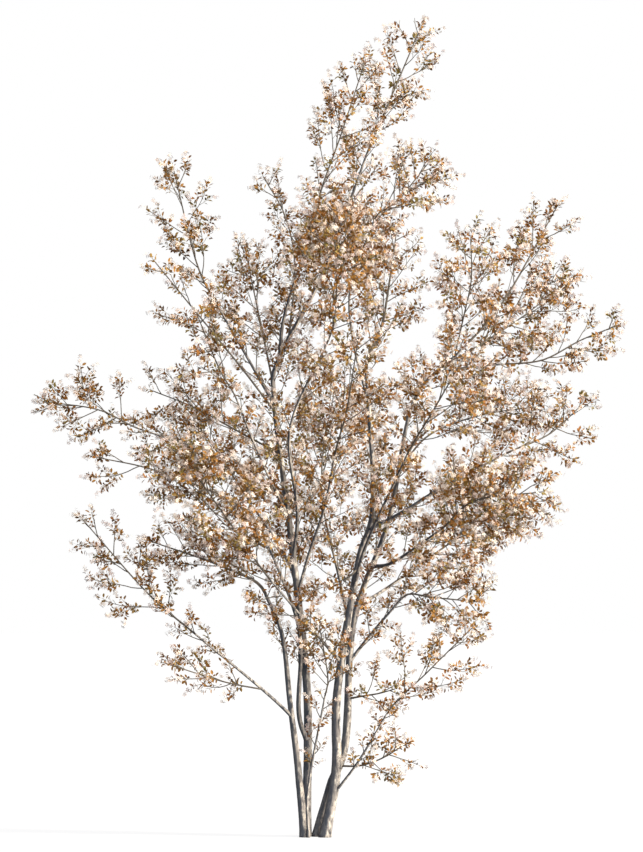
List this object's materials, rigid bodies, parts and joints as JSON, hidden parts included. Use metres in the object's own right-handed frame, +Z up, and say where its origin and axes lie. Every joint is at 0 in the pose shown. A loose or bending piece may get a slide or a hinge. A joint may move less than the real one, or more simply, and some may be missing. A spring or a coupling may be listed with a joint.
{
  "type": "serviceberry shrub",
  "caption": "Tall multi-stemmed flowering shrub in spring bloom, with slender leaning stems, open boughs, young copper leaves and white blossom.",
  "frame": {"origin": "middle of the flat cut under the main stem, at ground level", "axes": "+Z up, the tall way; -Y is the front seen in the picture, +X its right"},
  "size_m": [4.319, 3.3703, 5.9957],
  "materials": {
    "bark": "thin grey-beige bark with fine relief, matt",
    "foliage": "copper young leaves and white blossom, satin to matt"
  },
  "bodies": {
    "root": {"centre_stem": "bark", "right_stem": "bark", "back_stem": "bark", "left_stem": "bark", "front_shoot": "bark", "inner_stem": "bark", "low_left_bough": "bark", "far_left_bough": "bark", "left_rise_bough": "bark", "up_left_bough": "bark", "inner_bough": "bark", "upper_left_bough": "bark", "centre_bough": "bark", "back_left_bough": "bark", "top_right_bough": "bark", "low_right_bough": "bark", "right_long_bough": "bark", "front_left_bough": "bark", "front_right_bough": "bark", "right_low_bough": "bark", "right_back_bough": "bark", "right_mid_bough": "bark", "far_right_bough": "bark", "back_bough": "bark", "top": "foliage", "top_left": "foliage", "top_right": "foliage", "upper_small": "foliage", "crown_front": "foliage", "crown_back": "foliage", "crown_right": "foliage", "crown_left": "foliage", "up_left": "foliage", "up_left_side": "foliage", "left_rise": "foliage", "left_crest": "foliage", "far_left": "foliage", "left_back": "foliage", "left_front": "foliage", "left_inner": "foliage", "left_lower": "foliage", "low_left": "foliage", "low_left_side": "foliage", "low_right": "foliage", "low_right_side": "foliage", "low_centre": "foliage", "shoot_spray": "foliage", "centre_low": "foliage", "centre_front": "foliage", "back": "foliage", "right_low": "foliage", "right_lobe_back": "foliage", "right_lobe_front": "foliage", "right_long": "foliage", "right_long_side": "foliage", "far_right": "foliage", "right_shoulder": "foliage", "right_crest": "foliage", "right_up": "foliage", "front_right": "foliage"}
  },
  "joints": []
}
